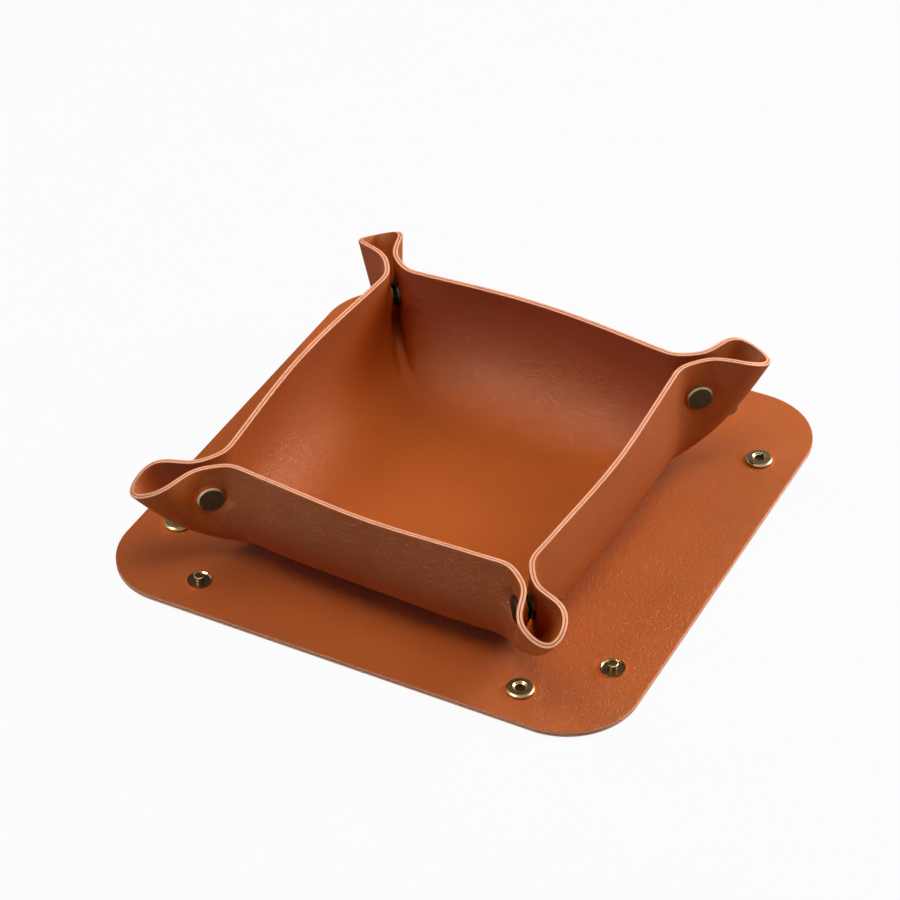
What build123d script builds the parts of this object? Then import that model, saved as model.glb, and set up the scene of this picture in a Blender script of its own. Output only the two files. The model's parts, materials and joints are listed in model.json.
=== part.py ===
from build123d import *
import math
import os

import numpy as np

# Pair of leather snap trays: one sheet lies open, the other is snapped up and stands on it.
# Millimetres. The origin is the middle of the open sheet, on the surface that its snap heads
# stand on. +Z is up and -Y is the front edge.

# Leather sheet, two plies bonded back to back
sheet_side = 200.0
sheet_corner_radius = 26.3
ply_thickness = 0.95
glue_line = 0.1

# Places of the snaps on the sheet: in from an edge, and along it from the sheet's square corner
snap_from_edge = 14.3
snap_from_corner = 37.5

# Outside heads and the shanks that go through the leather
head_radius = 5.0
head_flat_radius = 4.3
head_height = 1.0
head_bevel_height = 0.55
shank_radius = 1.2
shank_clearance = 0.05
hole_radius = 1.6

# Socket: flanged ring with a cavity that holds a split wire spring
socket_radius = 5.0
socket_height = 1.8
socket_side_height = 0.9
socket_land_outer_radius = 4.2
socket_land_inner_radius = 2.6
socket_base = 0.25
socket_lip = 0.3
mouth_radius = 2.25
flare_height = 0.2
flare_radius = 1.9
spring_wire_radius = 0.22
spring_opening_radius = 1.87
spring_slit = 0.8
spring_clearance = 0.05

# Stud: shallow dish with a thin rim and a ball on a neck
dish_radius = 4.4
dish_rim_height = 0.8
dish_rim_width = 0.35
dish_floor = 0.4
ball_radius = 1.9
ball_height = 0.1
ball_crown_radius = 1.55
ball_crown_height = 0.2
neck_radius = 1.55
neck_taper_height = 0.35

# Closed snap: play between the socket's top and the stud's rim, and at the ball's crown
closing_play = 0.6
crown_play = 0.1
standing_clearance = 0.02

# Leather clamped by a closed snap: flat this far past the head, then a fade back to the free fold,
# and squeezed a little under the metal
press_margin = 0.5
press_fade = 3.5
squeeze_share = 0.08

# Snapped tray: floor, walls, and the beaks that stand out past the closed snaps
floor_half = 47.0
floor_corner_radius = 16.0
wall_half = 63.5
wall_height = 43.6
beak_reach = 115.8
lean_share = 0.089

# Where the snapped tray stands on the open one
tray_shift_x = -0.78
tray_shift_y = -9.44
tray_turn = -2.24

# Ribs of one eighth of the wall, from the middle of a wall to the tip of a beak. A rib is a cubic
# arc from the floor's outline to the rim, given by four handles.
# Wall ribs: floor place along the wall as a share of the floor's straight half, then along and out
# for the low handle, the high handle and the rim as shares of wall_half, with their heights as
# shares of wall_height.
wall_rib_shares = [
    (0.0, (0.0, 1.005), (0.0, 1.044, 0.436), (0.0, 1.0, 1.0)),
    (0.613, (0.441, 1.005), (0.465, 1.020, 0.436), (0.472, 0.976, 0.998)),
    (1.0, (0.717, 1.005), (0.764, 0.973, 0.436), (0.772, 0.953, 0.991)),
]
# Corner ribs: share of the way round the floor's corner to the diagonal, low handle as above, then
# distance along the diagonal as a share of beak_reach, distance off it in half gaps, and height.
corner_rib_shares = [
    (0.30, (0.835, 1.002), (0.704, 1.92, 0.436), (0.706, 1.58, 0.989)),
    (0.50, (0.870, 0.995), (0.738, 1.12, 0.436), (0.745, 1.02, 0.984)),
    (0.70, (0.903, 0.980), (0.799, 1.05, 0.427), (0.813, 0.98, 0.979)),
    (0.87, (0.927, 0.958), (0.851, 1.42, 0.401), (0.928, 2.85, 0.940)),
    (1.0, (0.939, 0.939), (0.877, 0.0, 0.378), (1.0, 0.0, 0.835)),
]
# The snaps sit midway between the second and the third corner rib.
neck_rib = len(wall_rib_shares) + 1
level_shares = [0.0, 0.15, 0.3, 0.45, 0.58, 0.65, 0.7, 0.75, 0.8, 0.85, 0.9, 0.95, 1.0]
neck_strip_share = 0.014
wall_section_count = 20
neck_section_count = 16
beak_section_count = 12
nudge_share = 0.0005
snap_step_share = 0.002

edges = ["front", "right", "back", "left"]
sheet_thickness = 2 * ply_thickness + glue_line
sheet_half = sheet_side / 2
snap_from_middle = sheet_half - snap_from_corner
closed_gap = socket_height + dish_rim_height + closing_play
half_gap = (closed_gap + sheet_thickness) / 2
land_drop = socket_lip / 2
socket_cavity_top = socket_height - socket_lip - land_drop
stud_height = closed_gap - socket_base - flare_height - crown_play
floor_straight = floor_half - floor_corner_radius
pressed_radius = head_radius + press_margin

os.makedirs("parts", exist_ok=True)


def write(node, shape):
    """Write one node's solid under its name."""
    shape.label = node
    export_step(shape, "parts/" + node + ".step")
    print(node, round(shape.volume, 2), "mm3")


def revolved(sketch_edges):
    """Solid of revolution about Z of a closed profile drawn in radius and height."""
    profile = make_face(sketch_edges)
    return revolve(Plane.XZ * profile, Axis.Z)


# Snap pieces. Each stands on the Z axis: zero is the outer face of the leather, the head is below
# it, and the inner face of the leather is at sheet_thickness.


def head_profile(shank_top, flare):
    """Outline of a head and its shank, with a flare at the shank's top where there is one."""
    points = [
        (0, -head_height),
        (head_flat_radius, -head_height),
        (head_radius, -head_bevel_height),
        (head_radius, 0),
        (shank_radius, 0),
    ]
    if flare:
        points.append((shank_radius, shank_top - flare_height))
        points.append((flare_radius, shank_top - flare_height))
        points.append((flare_radius, shank_top))
    else:
        points.append((shank_radius, shank_top))
    points.append((0, shank_top))
    return Polyline(points, close=True)


def cap():
    """Head and shank of the socket half, flared inside the socket."""
    return revolved(head_profile(sheet_thickness + socket_base + flare_height, True))


def post():
    """Head and shank of the stud half, ending just below the ball's crown."""
    return revolved(head_profile(sheet_thickness + stud_height - ball_crown_height, False))


def socket():
    """Flanged ring with a wide mouth, a lip and a cavity for the spring."""
    base = sheet_thickness
    top = base + socket_height
    bore = shank_radius + shank_clearance
    spring_outer = spring_opening_radius + 2 * spring_wire_radius
    cavity = spring_outer + spring_clearance
    lip_bottom = base + socket_cavity_top
    lines = Polyline(
        (socket_radius, base + socket_side_height),
        (socket_radius, base),
        (bore, base),
        (bore, base + socket_base),
        (cavity, base + socket_base),
        (cavity, lip_bottom),
        (mouth_radius, lip_bottom),
        (mouth_radius, top - socket_lip),
    )
    land = Line((socket_land_inner_radius, top), (socket_land_outer_radius, top - land_drop))
    inner_round = RadiusArc(lines @ 1, land @ 0, socket_lip * 2)
    outer_round = SagittaArc(land @ 1, lines @ 0, -socket_lip / 2)
    return revolved([lines, inner_round, land, outer_round])


def spring():
    """Split wire ring that lies in the socket's cavity and grips the ball's neck."""
    level = sheet_thickness + socket_cavity_top - spring_clearance - spring_wire_radius
    ring_radius = spring_opening_radius + spring_wire_radius
    section = Plane.XZ * Pos(ring_radius, level) * Circle(spring_wire_radius)
    slit_angle = math.degrees(spring_slit / ring_radius)
    return revolve(section, Axis.Z, 360 - slit_angle)


def stud():
    """Shallow dish with a thin rim and a hollow ball that takes the shank."""
    base = sheet_thickness
    bore = shank_radius + shank_clearance
    top = base + stud_height
    ball_low = top - ball_crown_height - ball_height
    return revolved(
        Polyline(
            (bore, base),
            (dish_radius, base),
            (dish_radius, base + dish_rim_height),
            (dish_radius - dish_rim_width, base + dish_rim_height),
            (dish_radius - dish_rim_width * 2, base + dish_floor),
            (neck_radius, base + dish_floor),
            (neck_radius, ball_low - neck_taper_height),
            (ball_radius, ball_low),
            (ball_radius, top - ball_crown_height),
            (ball_crown_radius, top),
            (bore, top),
            close=True,
        )
    )


snap_pieces = {
    "cap": cap(),
    "socket": socket(),
    "spring": spring(),
    "stud": stud(),
    "post": post(),
}
socket_half = ["cap", "socket", "spring"]
stud_half = ["stud", "post"]


def write_snaps(tray, edge_number, start_place, end_place):
    """Write one edge's five snap pieces: the stud half at its start, the socket half at its end."""
    for kinds, place in ((stud_half, start_place), (socket_half, end_place)):
        for kind in kinds:
            write(tray + "_" + kind + "_" + edges[edge_number], place * snap_pieces[kind])


# Open tray: two flat plies with eight holes, heads below, sockets and studs on top


def open_places(edge_number):
    """Places of the snaps at the start and the end of one edge, going round anticlockwise."""
    turn = Rot(0, 0, 90 * edge_number)
    out = snap_from_edge - sheet_half
    start = turn * Pos(-snap_from_middle, out, head_height)
    end = turn * Pos(snap_from_middle, out, head_height)
    return start, end


def open_ply(bottom):
    """One flat ply with its punched holes."""
    outline = RectangleRounded(sheet_side, sheet_side, sheet_corner_radius)
    ply = extrude(Pos(0, 0, bottom) * outline, ply_thickness)
    holes = []
    for edge_number in range(len(edges)):
        for place in open_places(edge_number):
            holes.append(place * Cylinder(hole_radius, 4 * sheet_thickness))
    return ply - holes


def build_open_tray():
    write("open_outer_ply", open_ply(head_height))
    write("open_inner_ply", open_ply(head_height + ply_thickness + glue_line))
    for edge_number in range(len(edges)):
        write_snaps("open", edge_number, *open_places(edge_number))


# Snapped tray: the wall's middle surface runs through eight mirrored copies of the ribs


def off_diagonal(along, off):
    """Along-wall and outward distances of a place given along and off the corner's diagonal."""
    return (along - off) / math.sqrt(2), (along + off) / math.sqrt(2)


def rib_handles():
    """Four rows of handles (along, out, height), floor outline first and rim last."""
    rows = [[], [], [], []]
    for floor_share, low, high, rim in wall_rib_shares:
        rows[0].append((floor_straight * floor_share, floor_half, 0))
        rows[1].append((wall_half * low[0], wall_half * low[1], 0))
        for row, handle in ((rows[2], high), (rows[3], rim)):
            row.append((wall_half * handle[0], wall_half * handle[1], wall_height * handle[2]))
    for turn_share, low, high, rim in corner_rib_shares:
        turn = math.radians(45) * turn_share
        along = floor_straight + floor_corner_radius * math.sin(turn)
        out = floor_straight + floor_corner_radius * math.cos(turn)
        rows[0].append((along, out, 0))
        rows[1].append((wall_half * low[0], wall_half * low[1], 0))
        for row, handle in ((rows[2], high), (rows[3], rim)):
            place = off_diagonal(beak_reach * handle[0], half_gap * handle[1])
            row.append((*place, wall_height * handle[2]))
    return rows


def round_ring(octant):
    """Copy one eighth's handles round all four walls, starting in the middle of the +X wall."""
    one_side = [(out, along, up) for along, out, up in octant]
    other_side = [(along, out, up) for along, out, up in octant[-2:0:-1]]
    ring = []
    for quarter in range(len(edges)):
        for x, y, z in one_side + other_side:
            for _ in range(quarter):
                x, y = -y, x
            ring.append((x, y, z))
    return np.array(ring)


def ring_bends(points, knots):
    """Second derivatives at the knots of the smooth closed curve through a ring of points."""
    count = len(points)
    steps = np.diff(knots)
    slopes = (np.roll(points, -1, axis=0) - points) / steps[:, None]
    system = np.zeros((count, count))
    for here in range(count):
        before = here - 1
        after = (here + 1) % count
        system[here, before] = steps[before]
        system[here, here] = 2 * (steps[before] + steps[here])
        system[here, after] = steps[here]
    return np.linalg.solve(system, 6 * (slopes - np.roll(slopes, 1, axis=0)))


def ring_point(points, bends, way_round):
    """Point of the closed curve at a place from 0 to 1 round it."""
    way_round = way_round % 1.0
    here = min(int(np.searchsorted(knots, way_round, side="right")) - 1, len(points) - 1)
    after = (here + 1) % len(points)
    step = knots[here + 1] - knots[here]
    b = (way_round - knots[here]) / step
    a = 1 - b
    straight = a * points[here] + b * points[after]
    bend = (a**3 - a) * bends[here] + (b**3 - b) * bends[after]
    return straight + bend * step**2 / 6


handle_rings = [round_ring(row) for row in rib_handles()]
rim_ring = handle_rings[-1]
rim_steps = np.linalg.norm(np.roll(rim_ring, -1, axis=0) - rim_ring, axis=1)
knots = np.concatenate([[0], np.cumsum(rim_steps) / rim_steps.sum()])
handle_bends = [ring_bends(ring, knots) for ring in handle_rings]
neck_way = (knots[neck_rib] + knots[neck_rib + 1]) / 2


def leaning(out_y):
    """Factor on heights at a distance from the middle: the back wall is drawn up the highest."""
    return 1 + lean_share * out_y / wall_half


def free_point(way_round, climb):
    """Point of the wall's middle surface as it folds by itself: both arguments run from 0 to 1."""
    fall = 1 - climb
    weights = (fall**3, 3 * fall**2 * climb, 3 * fall * climb**2, climb**3)
    point = np.zeros(3)
    for ring, bends, weight in zip(handle_rings, handle_bends, weights):
        point += ring_point(ring, bends, way_round) * weight
    point[2] *= leaning(point[1])
    return point


def snap_on_neck():
    """Distance along the diagonal and height of the snaps, measured down the neck rib."""
    place = free_point(neck_way, 1)
    climb = 1
    walked = 0
    while walked < snap_from_edge:
        climb -= snap_step_share
        lower = free_point(neck_way, climb)
        walked += np.linalg.norm(place - lower)
        place = lower
    x, y, z = place
    return (x + y) / math.sqrt(2), z / leaning(y)


snap_along, snap_height = snap_on_neck()


def pressed_share(point):
    """How far the nearest snap flattens a point: 1 under its flanges, 0 in free leather."""
    x, y, z = point
    along = (abs(x) + abs(y)) / math.sqrt(2)
    height = snap_height * leaning(math.copysign(snap_along / math.sqrt(2), y))
    away = math.hypot(along - snap_along, z - height)
    fade = min(max((away - pressed_radius) / press_fade, 0), 1)
    return 1 - fade**2 * (3 - 2 * fade)


def wall_point(way_round, climb):
    """Point of the wall's middle surface, pressed flat round each closed snap."""
    point = free_point(way_round, climb)
    x, y, z = point
    along = (abs(x) + abs(y)) / math.sqrt(2)
    off = (abs(y) - abs(x)) / math.sqrt(2)
    off += (math.copysign(half_gap, off) - off) * pressed_share(point)
    pressed_x, pressed_y = off_diagonal(along, off)
    return np.array([math.copysign(pressed_x, x), math.copysign(pressed_y, y), z])


def wall_offset_point(way_round, climb, offset):
    """Point at a distance outside the middle surface, less where a snap squeezes the leather."""
    step = nudge_share
    round_way = wall_point(way_round + step, climb) - wall_point(way_round - step, climb)
    upward = wall_point(way_round, min(climb + step, 1)) - wall_point(way_round, max(climb - step, 0))
    if climb == 0:
        upward[2] = 0
    outward = np.cross(round_way, upward)
    outward /= np.linalg.norm(outward)
    point = wall_point(way_round, climb)
    return tuple(point + outward * offset * (1 - squeeze_share * pressed_share(point)))


def rib_wire(way_round, offset):
    """One rib at an offset from the middle surface, leaving the floor level with it."""
    points = [wall_offset_point(way_round, climb, offset) for climb in level_shares]
    step = nudge_share
    foot = wall_point(way_round, step) - wall_point(way_round, 0)
    top = wall_point(way_round, 1) - wall_point(way_round, 1 - step)
    tangents = [(foot[0], foot[1], 0), tuple(top)]
    return Wire([Edge.make_spline(points, tangents=tangents, parameters=level_shares)])


def wall_skin(offset):
    """Faces round the wall at one offset: at each corner a neck, a beak and a neck, then a wall."""
    near = neck_way - neck_strip_share
    far = neck_way + neck_strip_share
    quarter = 1 / len(edges)
    strips = [
        (near, far, neck_section_count),
        (far, quarter - far, beak_section_count),
        (quarter - far, quarter - near, neck_section_count),
        (quarter - near, quarter + near, wall_section_count),
    ]
    faces = []
    for corner in range(len(edges)):
        for start, end, count in strips:
            ways = corner * quarter + np.linspace(start, end, count + 1)
            faces += Shell.make_loft([rib_wire(way, offset) for way in ways]).faces()
    return faces


def snapped_ply(inner_offset, outer_offset):
    """One ply of the snapped tray, a closed solid between two offsets of the middle surface."""
    inner = wall_skin(inner_offset)
    outer = wall_skin(outer_offset)
    floors = []
    for skin in (inner, outer):
        floors.append(Face(Wire([face.edges().sort_by(Axis.Z)[0] for face in skin])))
    rims = []
    for inside, outside in zip(inner, outer):
        inner_edge = inside.edges().sort_by(Axis.Z)[-1]
        outer_edge = outside.edges().sort_by(Axis.Z)[-1]
        rims.append(Face.make_surface_from_curves(outer_edge, inner_edge))
    return Solid(Shell(inner + outer + floors + rims))


tray_floor = head_height + sheet_thickness + standing_clearance
tray_place = Pos(tray_shift_x, tray_shift_y, tray_floor) * Rot(0, 0, tray_turn)
middle_lift = Pos(0, 0, sheet_thickness / 2)


def neck_place(corner_angle, side):
    """Place of one snap half: on the outer face of the wall, pointing across the closed neck."""
    diagonal = Vector(1, 0, 0).rotate(Axis.Z, corner_angle)
    off = Vector(0, 1, 0).rotate(Axis.Z, corner_angle) * side
    middle = diagonal * snap_along
    height = snap_height * leaning(middle.Y)
    point = middle + off * (closed_gap / 2 + sheet_thickness) + Vector(0, 0, height)
    return Plane(origin=point, x_dir=(0, 0, 1), z_dir=-off).location


def snapped_places(edge_number):
    """Places of the snaps at the start and the end of one wall."""
    end_angle = 90 * edge_number - 45
    start = neck_place(end_angle - 90, 1)
    end = neck_place(end_angle, -1)
    return start, end


def build_snapped_tray():
    hole = Pos(0, 0, sheet_thickness / 2) * Cylinder(hole_radius, 2 * sheet_thickness)
    holes = []
    for edge_number in range(len(edges)):
        holes += [place * hole for place in snapped_places(edge_number)]
    half_glue = glue_line / 2
    outer = middle_lift * snapped_ply(half_glue, half_glue + ply_thickness)
    inner = middle_lift * snapped_ply(-half_glue - ply_thickness, -half_glue)
    write("snapped_outer_ply", tray_place * (outer - holes))
    write("snapped_inner_ply", tray_place * (inner - holes))
    for edge_number in range(len(edges)):
        start, end = snapped_places(edge_number)
        write_snaps("snapped", edge_number, tray_place * start, tray_place * end)


build_open_tray()
build_snapped_tray()
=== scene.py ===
import json
import math

import bpy
import numpy as np
from mathutils import Matrix, Vector

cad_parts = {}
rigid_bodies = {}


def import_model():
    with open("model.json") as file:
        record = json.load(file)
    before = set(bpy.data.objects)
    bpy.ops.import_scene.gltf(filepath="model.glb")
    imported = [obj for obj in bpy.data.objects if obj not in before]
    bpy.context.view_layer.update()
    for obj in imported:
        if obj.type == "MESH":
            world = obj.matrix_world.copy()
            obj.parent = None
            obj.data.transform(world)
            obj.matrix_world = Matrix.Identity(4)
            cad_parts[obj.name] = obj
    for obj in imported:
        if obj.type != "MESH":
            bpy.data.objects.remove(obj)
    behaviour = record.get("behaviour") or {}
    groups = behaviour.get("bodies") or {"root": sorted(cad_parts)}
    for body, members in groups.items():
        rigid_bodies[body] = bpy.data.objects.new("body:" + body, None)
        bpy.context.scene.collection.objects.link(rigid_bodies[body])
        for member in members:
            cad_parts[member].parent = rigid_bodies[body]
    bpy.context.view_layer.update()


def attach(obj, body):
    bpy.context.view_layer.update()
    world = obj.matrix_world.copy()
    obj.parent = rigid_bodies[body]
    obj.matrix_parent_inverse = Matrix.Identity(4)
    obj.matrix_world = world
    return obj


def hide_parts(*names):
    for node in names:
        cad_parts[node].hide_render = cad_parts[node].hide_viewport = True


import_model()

mm = 0.001

# Camera of the photograph: direction from the part, roll, distance, and shift of the aim point
camera_azimuth = math.radians(28.418)
camera_elevation = math.radians(38.465)
camera_roll = math.radians(-1.336)
camera_distance = 1.10065
camera_right = -0.007778
camera_up = 0.016622
camera_raise = 0.001
camera_lens = 121.92
camera_sensor = 36.0

# Leather sheet: half side, corner radius, ply and glue line, as in the solids
sheet_half = 100 * mm
sheet_corner = 26.3 * mm
ply = 0.95 * mm
half_glue = 0.05 * mm
sheet_thickness = 2 * (ply + half_glue)
edge_round = 0.2 * mm

# Snaps: height and radius of a head, and its place on the sheet
head_height = 1.0 * mm
head_radius = 5.0 * mm
snap_from_edge = 14.3 * mm
snap_from_middle = 62.5 * mm

# Snapped tray: the folded sheet stands on the open one, shifted and turned as in the solids.
# Its back wall is higher than its front wall by the lean.
wall_half = 63.5 * mm
wall_height = 43.6 * mm
beak_reach = 115.8 * mm
closed_gap = 3.2 * mm
half_gap = (closed_gap + sheet_thickness) / 2
lean_share = 0.089
trays_gap = 0.02 * mm
tray_shift = (-0.78 * mm, -9.44 * mm)
tray_turn = math.radians(-2.24)
tray_floor = head_height + sheet_thickness + trays_gap

# A rib of the folded wall is a curve with four handles, from the floor up to the rim.
# A wall rib has its share along the floor's straight side, then its low, high and rim handles:
# along and out as shares of wall_half, and height as a share of wall_height.
# A corner rib has its share round half a corner of the floor, and its high and rim handles are
# shares of beak_reach along the diagonal, of half_gap across it and of wall_height.
# A floor is its half side and its corner radius. The front and right walls sag fuller at the foot,
# and the walls behind them bend softer: fuller_reach sets how soon one changes into the other.
fuller_reach = 3.0
soft_floor = (36 * mm, 24 * mm)
soft_wall_ribs = [
    (0.0, (0.0, 1.005), (0.0, 1.044, 0.436), (0.0, 1.0, 1.0)),
    (0.613, (0.441, 1.005), (0.465, 1.020, 0.436), (0.472, 0.976, 0.998)),
    (1.0, (0.717, 1.000), (0.764, 0.973, 0.436), (0.772, 0.953, 0.991)),
]
soft_corner_ribs = [
    (0.30, (0.815, 0.982), (0.704, 1.92, 0.436), (0.706, 1.58, 0.989)),
    (0.50, (0.850, 0.965), (0.738, 1.12, 0.436), (0.745, 1.02, 0.984)),
    (0.70, (0.878, 0.942), (0.799, 1.05, 0.427), (0.813, 0.98, 0.979)),
    (0.87, (0.898, 0.922), (0.851, 1.42, 0.401), (0.928, 2.85, 0.940)),
    (1.0, (0.909, 0.909), (0.877, 0.0, 0.378), (1.0, 0.0, 0.835)),
]
full_floor = (40 * mm, 24 * mm)
full_wall_ribs = [
    (0.0, (0.0, 1.058), (0.0, 1.004, 0.417), (0.0, 1.0, 1.0)),
    (0.613, (0.441, 1.058), (0.465, 1.006, 0.415), (0.472, 0.976, 0.998)),
    (1.0, (0.717, 1.061), (0.764, 0.972, 0.410), (0.772, 0.953, 0.991)),
]
full_corner_ribs = [
    (0.30, (0.844, 1.056), (0.704, 1.92, 0.410), (0.706, 1.58, 0.989)),
    (0.50, (0.888, 1.047), (0.738, 1.12, 0.411), (0.745, 1.02, 0.984)),
    (0.70, (0.930, 1.030), (0.798, 1.05, 0.404), (0.813, 0.98, 0.979)),
    (0.87, (0.962, 1.005), (0.849, 1.42, 0.380), (0.928, 2.85, 0.940)),
    (1.0, (0.982, 0.982), (0.875, 0.0, 0.360), (1.0, 0.0, 0.835)),
]
neck_rib = len(soft_wall_ribs) + 1

# Leather under and beside a snap: pressed flat, squeezed, and puckered round the head.
# The puckers' height swings about its mean, and their spacing drifts round the head.
pressed_radius = 5.5 * mm
press_fade = 3.5 * mm
squeeze_share = 0.08
pucker_height = 0.16 * mm
pucker_radius = 6.9 * mm
pucker_width = 1.0 * mm
pucker_count = 9
pucker_mean_share = 0.55
pucker_swing_share = 0.45
pucker_drift = 3

# Mesh steps: points round a ring, and rings up a wall, where they lie a little closer near the rim.
# Round a cut edge there are twice arc_steps. On the snapped tray's floor rings lie at shares of its
# half width, and on the open sheet at insets from the edge, where their corners get tighter inward.
round_steps = 720
climb_steps = 56
climb_power = 0.9
arc_steps = 3
floor_ring_shares = (0.82, 0.6, 0.36, 0.14)
open_ring_insets = np.array([*range(1, 31), 40, 55, 70, 85]) * mm
inner_corner_share = 0.5

# Small steps round and up the wall for its normals, and down the neck to the snap
tangent_step = 0.0005
walk_step = 0.002

# Tones: leather, its cut edge, and the share and gain of the patches in the brass
tan_light = (0.49, 0.101, 0.0105)
tan_deep = (0.42, 0.081, 0.0065)
edge_light = (0.90, 0.40, 0.23)
edge_deep = (0.72, 0.27, 0.14)
sheen_roughness = 0.32
patch_share = 0.2
worn_gain = 2
white = (1, 1, 1, 1)
warm_glow = (1.0, 0.72, 0.50)

# Studio: half side of the floor, how much of it shows as white, and distance of the lamps
floor_reach = 6.0
white_share = 0.95
lamp_distance = 1.3

corners = 4
half_corner = math.radians(45)
edges = ("front", "right", "back", "left")


# Folded sheet


def off_diagonal(along, off):
    """X and Y of a place along a corner's diagonal and off to its side."""
    return (along - off) / math.sqrt(2), (along + off) / math.sqrt(2)


def rib_handles(floor, wall_ribs, corner_ribs):
    """Four rows of handles (along, out, height), floor outline first and rim last."""
    floor_half, floor_corner = floor
    straight = floor_half - floor_corner
    rows = [[], [], [], []]
    for floor_share, low, high, rim in wall_ribs:
        rows[0].append((straight * floor_share, floor_half, 0))
        rows[1].append((wall_half * low[0], wall_half * low[1], 0))
        for row, handle in ((rows[2], high), (rows[3], rim)):
            row.append((wall_half * handle[0], wall_half * handle[1], wall_height * handle[2]))
    for turn_share, low, high, rim in corner_ribs:
        turn = half_corner * turn_share
        along = straight + floor_corner * math.sin(turn)
        out = straight + floor_corner * math.cos(turn)
        rows[0].append((along, out, 0))
        rows[1].append((wall_half * low[0], wall_half * low[1], 0))
        for row, handle in ((rows[2], high), (rows[3], rim)):
            place = off_diagonal(beak_reach * handle[0], half_gap * handle[1])
            row.append((*place, wall_height * handle[2]))
    return rows


def round_ring(octant):
    """Copy one eighth's handles round all four walls, starting in the middle of the +X wall."""
    one_side = [(out, along, up) for along, out, up in octant]
    other_side = [(along, out, up) for along, out, up in octant[-2:0:-1]]
    ring = []
    for quarter in range(corners):
        for x, y, z in one_side + other_side:
            for _ in range(quarter):
                x, y = -y, x
            ring.append((x, y, z))
    return np.array(ring)


def ring_bends(points, knots):
    """Second derivatives at the knots of the smooth closed curve through a ring of points."""
    count = len(points)
    steps = np.diff(knots)
    slopes = (np.roll(points, -1, axis=0) - points) / steps[:, None]
    system = np.zeros((count, count))
    for here in range(count):
        before = here - 1
        system[here, before] = steps[before]
        system[here, here] = 2 * (steps[before] + steps[here])
        system[here, (here + 1) % count] = steps[here]
    return np.linalg.solve(system, 6 * (slopes - np.roll(slopes, 1, axis=0)))


def ring_points(points, bends, knots, ways):
    """Points of the closed curve at places from 0 to 1 round it."""
    ways = ways % 1.0
    here = np.clip(np.searchsorted(knots, ways, side="right") - 1, 0, len(points) - 1)
    after = (here + 1) % len(points)
    step = knots[here + 1] - knots[here]
    b = (ways - knots[here]) / step
    a = 1 - b
    straight = a[:, None] * points[here] + b[:, None] * points[after]
    bend = (a**3 - a)[:, None] * bends[here] + (b**3 - b)[:, None] * bends[after]
    return straight + bend * (step**2)[:, None] / 6


def fuller_share(rim):
    """Share of the fuller foot at each rim handle: 1 on the front and right walls, 0 behind."""
    share = np.clip(1 + fuller_reach * (rim[:, 0] - rim[:, 1]) / wall_half, 0, 1)
    return (share**2 * (3 - 2 * share))[:, None]


soft_rings = [round_ring(row) for row in rib_handles(soft_floor, soft_wall_ribs, soft_corner_ribs)]
full_rings = [round_ring(row) for row in rib_handles(full_floor, full_wall_ribs, full_corner_ribs)]
fuller = fuller_share(soft_rings[-1])
handle_rings = [soft + (full - soft) * fuller for soft, full in zip(soft_rings, full_rings)]
rim_steps = np.linalg.norm(np.roll(handle_rings[-1], -1, axis=0) - handle_rings[-1], axis=1)
knots = np.concatenate([[0], np.cumsum(rim_steps) / rim_steps.sum()])
handle_bends = [ring_bends(ring, knots) for ring in handle_rings]
neck_way = (knots[neck_rib] + knots[neck_rib + 1]) / 2


def leaning(out_y):
    """Share by which the walls are higher at the back and lower at the front."""
    return 1 + lean_share * out_y / wall_half


def free_points(ways, climb):
    """One level of the wall's middle surface as it folds by itself."""
    fall = 1 - climb
    weights = (fall**3, 3 * fall**2 * climb, 3 * fall * climb**2, climb**3)
    points = np.zeros((len(ways), 3))
    for ring, bends, weight in zip(handle_rings, handle_bends, weights):
        points += ring_points(ring, bends, knots, ways) * weight
    points[:, 2] *= leaning(points[:, 1])
    return points


def snap_on_neck():
    """Distance along the diagonal and height of the snaps, measured down the neck rib."""
    neck = np.array([neck_way])
    climb = 1
    walked = 0
    place = free_points(neck, climb)[0]
    while walked < snap_from_edge:
        climb -= walk_step
        lower = free_points(neck, climb)[0]
        walked += np.linalg.norm(place - lower)
        place = lower
    return (place[0] + place[1]) / math.sqrt(2), place[2] / leaning(place[1])


snap_along, snap_height = snap_on_neck()


def round_snap(points):
    """Distance of each point from its nearest snap's axis, and the angle round that axis."""
    x, y, z = points.T
    along = (np.abs(x) + np.abs(y)) / math.sqrt(2) - snap_along
    up = z - snap_height * leaning(np.copysign(snap_along / math.sqrt(2), y))
    return np.hypot(along, up), np.arctan2(up, along)


def pressed_share(points):
    """How far the nearest snap flattens the leather: 1 under its flanges, 0 in free leather."""
    away, _ = round_snap(points)
    fade = np.clip((away - pressed_radius) / press_fade, 0, 1)
    return 1 - fade**2 * (3 - 2 * fade)


def wall_points(ways, climb):
    """One level of the middle surface, pressed flat round each closed snap."""
    points = free_points(ways, climb)
    x, y, z = points.T
    along = (np.abs(x) + np.abs(y)) / math.sqrt(2)
    off = (np.abs(y) - np.abs(x)) / math.sqrt(2)
    off = off + (np.copysign(half_gap, off) - off) * pressed_share(points)
    pressed_x, pressed_y = off_diagonal(along, off)
    return np.stack([np.copysign(pressed_x, x), np.copysign(pressed_y, y), z], 1)


def pucker(away, angle):
    """Height of the small folds that a clamped head raises in the leather beside it."""
    ring = np.exp(-(((away - pucker_radius) / pucker_width) ** 2))
    wave = np.sin(pucker_count * angle + pucker_drift * np.sin(angle))
    return pucker_height * ring * (pucker_mean_share + pucker_swing_share * wave)


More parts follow.
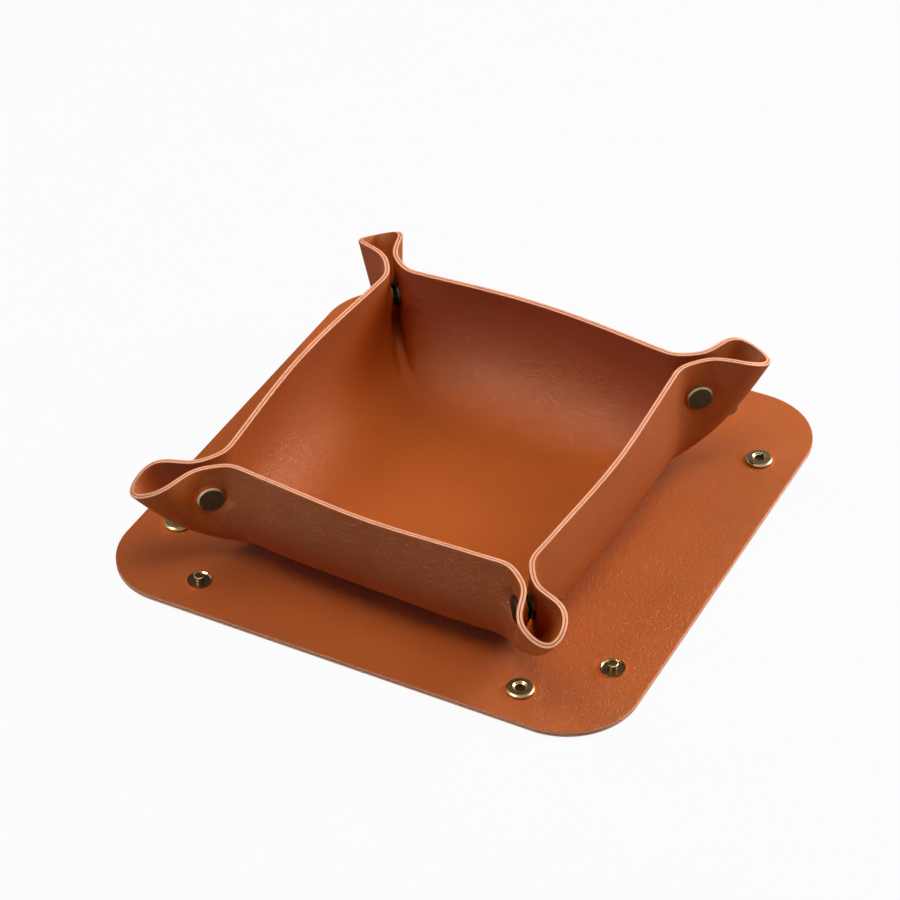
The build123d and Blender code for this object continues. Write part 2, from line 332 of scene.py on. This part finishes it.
def wall_frame(ways, climb):
    """One level's points with the outward normals and upward tangents there."""
    step = tangent_step
    points = wall_points(ways, climb)
    round_way = wall_points(ways + step, climb) - wall_points(ways - step, climb)
    upward = wall_points(ways, min(climb + step, 1)) - wall_points(ways, max(climb - step, 0))
    if climb == 0:
        upward[:, 2] = 0
    normals = np.cross(round_way, upward)
    normals /= np.linalg.norm(normals, axis=1)[:, None]
    upward /= np.linalg.norm(upward, axis=1)[:, None]
    return points, normals, upward


def skin_level(ways, climb, offset, puckered):
    """One level of a ply's face at an offset from the middle surface."""
    points, normals, _ = wall_frame(ways, climb)
    depth = offset * (1 - squeeze_share * pressed_share(points))
    if puckered:
        depth = depth + math.copysign(1, offset) * pucker(*round_snap(points))
    return points + normals * depth[:, None]


def placed(points):
    """Move points of the folded sheet to where the snapped tray stands."""
    turn = np.array(
        [
            [math.cos(tray_turn), math.sin(tray_turn), 0],
            [-math.sin(tray_turn), math.cos(tray_turn), 0],
            [0, 0, 1],
        ]
    )
    return points @ turn + np.array([*tray_shift, tray_floor + sheet_thickness / 2])


# Mesh building: every piece is rings of equal length joined by quads


def ring_mesh(name, rings, edge_rings, materials):
    """Closed body from rings that run from the middle of one face over the edge to the other."""
    count = len(rings[0])
    vertices = [tuple(point) for ring in rings for point in ring]
    faces = []
    slots = []
    for level in range(len(rings) - 1):
        for here in range(count):
            after = (here + 1) % count
            low = level * count
            faces.append((low + here, low + after, low + count + after, low + count + here))
            slots.append(1 if level in edge_rings else 0)
    for level, flip in ((0, True), (len(rings) - 1, False)):
        centre = len(vertices)
        vertices.append(tuple(np.mean(rings[level], axis=0)))
        for here in range(count):
            after = (here + 1) % count
            pair = (level * count + here, level * count + after)
            faces.append((centre, *(pair[::-1] if flip else pair)))
            slots.append(0)
    mesh = bpy.data.meshes.new(name)
    mesh.from_pydata(vertices, [], faces)
    for material in materials:
        mesh.materials.append(material)
    mesh.polygons.foreach_set("material_index", slots)
    mesh.polygons.foreach_set("use_smooth", [True] * len(faces))
    mesh.update()
    piece = bpy.data.objects.new(name, mesh)
    bpy.context.scene.collection.objects.link(piece)
    return piece


def cut_rings(first_edge):
    """The rings along the middle of a cut edge, where the raw leather shows."""
    return range(first_edge + arc_steps - 1, first_edge + arc_steps + 2)


def folded_ply(name, inner, outer, materials):
    """One ply of the snapped tray between two offsets of the middle surface."""
    ways = np.arange(round_steps) / round_steps
    seen_outside = outer > abs(inner)
    top = 1 - edge_round / wall_height
    climbs = np.linspace(0, 1, climb_steps) ** climb_power * top
    rings = []
    foot = skin_level(ways, 0, outer, False)
    middle = foot.mean(axis=0)
    for share in floor_ring_shares[::-1]:
        rings.append(middle + (foot - middle) * share)
    for climb in climbs:
        rings.append(skin_level(ways, climb, outer, seen_outside))
    rim, normals, upward = wall_frame(ways, 1)
    first_edge = len(rings) - 1
    for turn in np.linspace(0, math.pi / 2, arc_steps + 1)[1:]:
        out = outer - edge_round * (1 - math.cos(turn))
        rings.append(rim + normals * out + upward * edge_round * (math.sin(turn) - 1))
    for turn in np.linspace(math.pi / 2, 0, arc_steps + 1)[:-1]:
        out = inner + edge_round * (1 - math.cos(turn))
        rings.append(rim + normals * out + upward * edge_round * (math.sin(turn) - 1))
    for climb in climbs[::-1]:
        rings.append(skin_level(ways, climb, inner, not seen_outside))
    foot = skin_level(ways, 0, inner, False)
    for share in floor_ring_shares:
        rings.append(middle * (1, 1, 0) + (0, 0, foot[0][2]) + (foot - foot.mean(axis=0)) * share)
    rings = [placed(ring) for ring in rings]
    return ring_mesh(name, rings, cut_rings(first_edge), materials)


def sheet_outline(inset):
    """Rounded square at an inset from the open sheet's edge, anticlockwise."""
    half = sheet_half - inset
    radius = max(sheet_corner - inset, half * sheet_corner / sheet_half * inner_corner_share)
    straight = half - radius
    points = []
    per_side = round_steps // corners
    arc = math.pi / 2 * sheet_corner
    side = 2 * (sheet_half - sheet_corner)
    on_side = round(per_side * side / (side + arc))
    for corner in range(corners):
        turn = corner * math.pi / 2
        cos, sin = round(math.cos(turn)), round(math.sin(turn))
        local = [(half, -straight + 2 * straight * k / on_side) for k in range(on_side)]
        for k in range(per_side - on_side):
            angle = math.pi / 2 * k / (per_side - on_side)
            local.append((straight + radius * math.cos(angle), straight + radius * math.sin(angle)))
        points += [(x * cos - y * sin, x * sin + y * cos) for x, y in local]
    return np.array(points)


def open_dimple(plane):
    """Puckers of the open sheet's leather round its eight snaps."""
    x, y = np.abs(plane[:, 0]), np.abs(plane[:, 1])
    out = sheet_half - snap_from_edge
    rise = np.zeros(len(plane))
    for place in ((snap_from_middle, out), (out, snap_from_middle)):
        away = np.hypot(x - place[0], y - place[1])
        angle = np.arctan2(y - place[1], x - place[0])
        rise += np.where(away > head_radius, pucker(away, angle), 0)
    return rise


def flat_ply(name, bottom, materials, top_seen):
    """One ply of the open tray, with puckers on its top face if that is seen."""
    top = bottom + ply
    rings = []

    def ring(inset, height, puckered=False):
        plane = sheet_outline(inset)
        rise = open_dimple(plane) if puckered else 0
        rings.append(np.column_stack([plane, np.full(len(plane), height) + rise]))

    for inset in open_ring_insets[::-1]:
        ring(inset, bottom)
    first_edge = len(rings)
    for turn in np.linspace(-math.pi / 2, 0, arc_steps + 1):
        ring(edge_round * (1 - math.cos(turn)), bottom + edge_round * (1 + math.sin(turn)))
    for turn in np.linspace(0, math.pi / 2, arc_steps + 1):
        ring(edge_round * (1 - math.cos(turn)), top - edge_round * (1 - math.sin(turn)))
    for inset in open_ring_insets:
        ring(inset, top, top_seen)
    return ring_mesh(name, rings, cut_rings(first_edge), materials)


# Materials


class Nodes:
    """Short way to add nodes to a new material or world and link them."""

    def __init__(self, owner, output="OutputMaterial"):
        owner.use_nodes = True
        self.owner = owner
        self.tree = owner.node_tree
        self.tree.nodes.clear()
        self.output = self.add(output)

    def add(self, kind, inputs=None, **settings):
        """Add a node of a kind, with values for its inputs or outputs to link to them."""
        node = self.tree.nodes.new("ShaderNode" + kind)
        for key, value in settings.items():
            setattr(node, key, value)
        for key, value in (inputs or {}).items():
            if isinstance(value, bpy.types.NodeSocket):
                self.tree.links.new(value, node.inputs[key])
            else:
                node.inputs[key].default_value = value
        return node

    def ramp(self, factor, stops):
        """Colour that runs between two stops, each a place and a colour."""
        node = self.add("ValToRGB", {"Fac": factor})
        for element, (place, colour) in zip(node.color_ramp.elements, stops):
            element.position = place
            element.color = (*colour, 1)
        return node.outputs["Color"]

    def finish(self, shader):
        self.tree.links.new(shader, self.output.inputs["Surface"])
        return self.owner


def leather(name, light, deep, roughness):
    """Smooth tan leather: soft tone changes, and a thin finish over fine grain and pores."""
    nodes = Nodes(bpy.data.materials.new(name))
    place = nodes.add("TexCoord").outputs["Object"]
    cloud = nodes.add("TexNoise", {"Vector": place, "Scale": 22.0, "Detail": 5.0, "Roughness": 0.55})
    fine = nodes.add("TexNoise", {"Vector": place, "Scale": 420.0, "Detail": 4.0, "Roughness": 0.6})
    blend = nodes.add("Mix", {"Factor": 0.35, "A": cloud.outputs["Fac"], "B": fine.outputs["Fac"]})
    colour = nodes.ramp(blend.outputs["Result"], [(0.32, deep), (0.68, light)])
    pebble = nodes.add("TexVoronoi", {"Vector": place, "Scale": 1450.0}, feature="SMOOTH_F1")
    pores = nodes.add("TexNoise", {"Vector": place, "Scale": 2600.0, "Detail": 2.0})
    grain = nodes.add(
        "Mix", {"Factor": 0.35, "A": pebble.outputs["Distance"], "B": pores.outputs["Fac"]}
    )
    bump = nodes.add(
        "Bump", {"Height": grain.outputs["Result"], "Strength": 1.0, "Distance": 0.0008}
    )
    sheen = nodes.add(
        "MapRange",
        {"Value": fine.outputs["Fac"], "To Min": roughness - 0.04, "To Max": roughness + 0.06},
    )
    shader = nodes.add(
        "BsdfPrincipled",
        {
            "Base Color": colour,
            "Roughness": 0.7,
            "Specular IOR Level": 0.05,
            "Coat Weight": 0.074,
            "Coat IOR": 2.2,
            "Coat Roughness": sheen.outputs["Result"],
            "Coat Normal": bump.outputs["Normal"],
        },
    )
    return nodes.finish(shader.outputs["BSDF"])


def raw_edge(name, light, deep):
    """Cut edge of a ply: pale fibres with short streaks."""
    nodes = Nodes(bpy.data.materials.new(name))
    place = nodes.add("TexCoord").outputs["Object"]
    fibre = nodes.add("TexNoise", {"Vector": place, "Scale": 900.0, "Detail": 5.0, "Roughness": 0.7})
    cloud = nodes.add("TexNoise", {"Vector": place, "Scale": 60.0, "Detail": 3.0})
    blend = nodes.add("Mix", {"Factor": 0.5, "A": cloud.outputs["Fac"], "B": fibre.outputs["Fac"]})
    colour = nodes.ramp(blend.outputs["Result"], [(0.3, deep), (0.65, light)])
    bump = nodes.add("Bump", {"Height": fibre.outputs["Fac"], "Strength": 0.4, "Distance": 0.0002})
    shader = nodes.add(
        "BsdfPrincipled",
        {"Base Color": colour, "Roughness": 0.72, "Normal": bump.outputs["Normal"]},
    )
    return nodes.finish(shader.outputs["BSDF"])


def antique_brass(name, axis, dark, bright):
    """Aged brass: dark patina on faces square to the snap's axis, rubbed bright on the rims."""
    nodes = Nodes(bpy.data.materials.new(name))
    place = nodes.add("TexCoord").outputs["Object"]
    normal = nodes.add("NewGeometry").outputs["Normal"]
    square = nodes.add("VectorMath", {0: normal, 1: axis}, operation="DOT_PRODUCT")
    size = nodes.add("Math", {0: square.outputs["Value"]}, operation="ABSOLUTE")
    patches = nodes.add("TexNoise", {"Vector": place, "Scale": 700.0, "Detail": 5.0, "Roughness": 0.65})
    shifted = nodes.add(
        "Math",
        {0: patches.outputs["Fac"], 1: patch_share, 2: size.outputs["Value"]},
        operation="MULTIPLY_ADD",
    )
    rubbed = nodes.add(
        "MapRange", {"Value": shifted.outputs["Value"], "From Min": 1.06, "From Max": 0.86}
    )
    worn = tuple(worn_gain * tone for tone in dark)
    tint = nodes.ramp(patches.outputs["Fac"], [(0.35, dark), (0.75, worn)])
    colour = nodes.add(
        "Mix", {"Factor": rubbed.outputs["Result"], "A": tint, "B": (*bright, 1)}, data_type="RGBA"
    )
    rough = nodes.add(
        "MapRange", {"Value": rubbed.outputs["Result"], "To Min": 0.42, "To Max": 0.26}
    )
    scratch = nodes.add("TexNoise", {"Vector": place, "Scale": 2400.0, "Detail": 3.0})
    bump = nodes.add(
        "Bump", {"Height": scratch.outputs["Fac"], "Strength": 0.15, "Distance": 0.0001}
    )
    shader = nodes.add(
        "BsdfPrincipled",
        {
            "Base Color": colour.outputs["Result"],
            "Metallic": 1.0,
            "Roughness": rough.outputs["Result"],
            "Normal": bump.outputs["Normal"],
        },
    )
    return nodes.finish(shader.outputs["BSDF"])


def spring_steel(name):
    """Drawn wire with faint darker streaks."""
    nodes = Nodes(bpy.data.materials.new(name))
    place = nodes.add("TexCoord").outputs["Object"]
    drawn = nodes.add("TexNoise", {"Vector": place, "Scale": 1800.0, "Detail": 3.0})
    colour = nodes.ramp(drawn.outputs["Fac"], [(0.3, (0.2, 0.17, 0.12)), (0.7, (0.42, 0.37, 0.28))])
    shader = nodes.add(
        "BsdfPrincipled", {"Base Color": colour, "Metallic": 1.0, "Roughness": 0.35}
    )
    return nodes.finish(shader.outputs["BSDF"])


# Leather pieces: each stands for the solid of its ply

face = leather("tan_leather", tan_light, tan_deep, sheen_roughness)
cut = raw_edge("raw_leather_edge", edge_light, edge_deep)
skins = (face, cut)
open_inner_bottom = head_height + ply + 2 * half_glue
open_outer = flat_ply("open_outer_leather", head_height, skins, False)
open_inner = flat_ply("open_inner_leather", open_inner_bottom, skins, True)
snapped_outer = folded_ply("snapped_outer_leather", half_glue, half_glue + ply, skins)
snapped_inner = folded_ply("snapped_inner_leather", -half_glue - ply, -half_glue, skins)
for piece, node, body, slot in (
    (open_outer, "open_outer_ply", "open_tray", "leather_outer"),
    (open_inner, "open_inner_ply", "open_tray", "leather_inner"),
    (snapped_outer, "snapped_outer_ply", "snapped_tray", "leather_outer"),
    (snapped_inner, "snapped_inner_ply", "snapped_tray", "leather_inner"),
):
    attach(piece, body)
    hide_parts(node)

# Snap hardware: the solids keep their shapes and get aged metal. The patina and the rubbed tone
# differ with the kind of piece. Pieces within the beaks, and the cap beside the front one, get a
# near-black painted shade.

steel = spring_steel("spring_wire")
brass_tones = {
    "cap": ((0.032, 0.022, 0.011), (0.50, 0.37, 0.23)),
    "socket": ((0.052, 0.038, 0.019), (0.29, 0.21, 0.11)),
    "stud": ((0.030, 0.022, 0.011), (0.32, 0.24, 0.13)),
    "post": ((0.032, 0.022, 0.011), (0.50, 0.37, 0.23)),
    # Near-black painted shade for the pieces that lie in the beaks' shadow, not their own metal tone
    "painted_shade": ((0.010, 0.007, 0.004), (0.05, 0.036, 0.018)),
}
brass = {}
for kind, tones in brass_tones.items():
    brass["open", kind] = antique_brass(f"antique_brass_open_{kind}", (0, 0, 1), *tones)
    for diagonal in (0, 1):
        turn = tray_turn + half_corner * (1 + 2 * diagonal)
        axis = (math.cos(turn), math.sin(turn), 0)
        brass[diagonal, kind] = antique_brass(f"antique_brass_{kind}_{diagonal}", axis, *tones)
for tray in ("open", "snapped"):
    for edge_number, edge in enumerate(edges):
        for kind in ("cap", "socket", "spring", "stud", "post"):
            node = bpy.data.objects[f"{tray}_{kind}_{edge}"]
            if kind == "spring":
                material = steel
            elif tray == "open":
                material = brass["open", kind]
            else:
                diagonal = (edge_number + (kind in ("stud", "post"))) % 2
                # Snapped sockets and studs, and the front cap, get the painted shade instead of their
                # own tones
                lit = kind == "post" or (kind == "cap" and edge != "front")
                material = brass[diagonal, kind if lit else "painted_shade"]
            for slot in node.material_slots:
                slot.material = material

# Floor, light and camera


def seen_directly(nodes):
    """1 where the camera sees, also in gloss or through glass, and 0 for light that bounces."""
    path = nodes.add("LightPath")
    seen = path.outputs["Is Camera Ray"]
    for ray in ("Is Glossy Ray", "Is Transmission Ray"):
        either = nodes.add("Math", {0: seen, 1: path.outputs[ray]}, operation="MAXIMUM")
        seen = either.outputs["Value"]
    return seen


def stage_floor():
    """Paper floor that shows nearly white and keeps a faint shadow of the part."""
    nodes = Nodes(bpy.data.materials.new("studio_floor"))
    place = nodes.add("TexCoord").outputs["Object"]
    paper = nodes.add("TexNoise", {"Vector": place, "Scale": 30.0, "Detail": 3.0})
    tone = nodes.ramp(paper.outputs["Fac"], [(0.3, (0.56, 0.56, 0.56)), (0.7, (0.60, 0.60, 0.60))])
    matt = nodes.add("BsdfDiffuse", {"Color": tone}).outputs["BSDF"]
    glow = nodes.add("Emission", {"Color": white, "Strength": 1.0}).outputs["Emission"]
    share = nodes.add("Math", {0: seen_directly(nodes), 1: white_share}, operation="MULTIPLY")
    mixed = nodes.add("MixShader", {0: share.outputs["Value"], 1: matt, 2: glow})
    mesh = bpy.data.meshes.new("studio_floor")
    ends = ((-1, -1), (1, -1), (1, 1), (-1, 1))
    mesh.from_pydata([(floor_reach * x, floor_reach * y, 0) for x, y in ends], [], [(0, 1, 2, 3)])
    mesh.materials.append(nodes.finish(mixed.outputs["Shader"]))
    floor = bpy.data.objects.new("studio_floor", mesh)
    bpy.context.scene.collection.objects.link(floor)


def white_world():
    """Surroundings that show white and light nothing by themselves."""
    world = bpy.data.worlds.new("white_studio")
    bpy.context.scene.world = world
    nodes = Nodes(world, "OutputWorld")
    dark = nodes.add("Background", {"Color": white, "Strength": 0.0}).outputs["Background"]
    bright = nodes.add("Background", {"Color": white, "Strength": 1.0}).outputs["Background"]
    mixed = nodes.add("MixShader", {0: seen_directly(nodes), 1: dark, 2: bright})
    nodes.finish(mixed.outputs["Shader"])


def softbox(name, azimuth, elevation, size, power, glow=None):
    """Round lamp aimed at the part: azimuth from +X, elevation, width in metres and watts.

    A glow has a colour and only draws the broad sheen on the bends of the leather."""
    lamp = bpy.data.lights.new(name, "AREA")
    lamp.shape = "DISK"
    lamp.size = size
    lamp.energy = power
    holder = bpy.data.objects.new(name, lamp)
    bpy.context.scene.collection.objects.link(holder)
    turn, lift = math.radians(azimuth), math.radians(elevation)
    aim = Vector((math.cos(turn) * math.cos(lift), math.sin(turn) * math.cos(lift), math.sin(lift)))
    holder.location = aim * lamp_distance
    if glow:
        lamp.color = glow
        holder.visible_diffuse = False
    holder.rotation_euler = aim.to_track_quat("Z", "Y").to_euler()


def photo_camera():
    """Camera that looks at the part as the photograph does."""
    side, lift = math.sin(camera_azimuth), math.sin(camera_elevation)
    flat = math.cos(camera_elevation)
    back = Vector((side * flat, -math.cos(camera_azimuth) * flat, lift))
    right = Vector((0, 0, 1)).cross(back).normalized()
    up = back.cross(right)
    right, up = (
        right * math.cos(camera_roll) + up * math.sin(camera_roll),
        up * math.cos(camera_roll) - right * math.sin(camera_roll),
    )
    place = back * camera_distance + right * camera_right + up * camera_up
    place.z += camera_raise
    lens = bpy.data.cameras.new("photo_camera")
    lens.lens = camera_lens
    lens.sensor_width = camera_sensor
    holder = bpy.data.objects.new("photo_camera", lens)
    bpy.context.scene.collection.objects.link(holder)
    holder.matrix_world = Matrix.Translation(place) @ Matrix((right, up, back)).transposed().to_4x4()
    bpy.context.scene.camera = holder


stage_floor()
white_world()
softbox("key_light", 42, 33, 0.7, 10.4)
softbox("right_light", 15, 76, 0.7, 3.2)
softbox("left_light", 180, 52, 0.7, 5.0)
softbox("front_light", -80, 78, 0.7, 4.0)
softbox("right_glow", 44, 24, 0.5, 112.0, glow=warm_glow)
softbox("front_glow", -118, 30, 0.6, 86.0, glow=warm_glow)
photo_camera()
bpy.context.scene.view_settings.view_transform = "Standard"
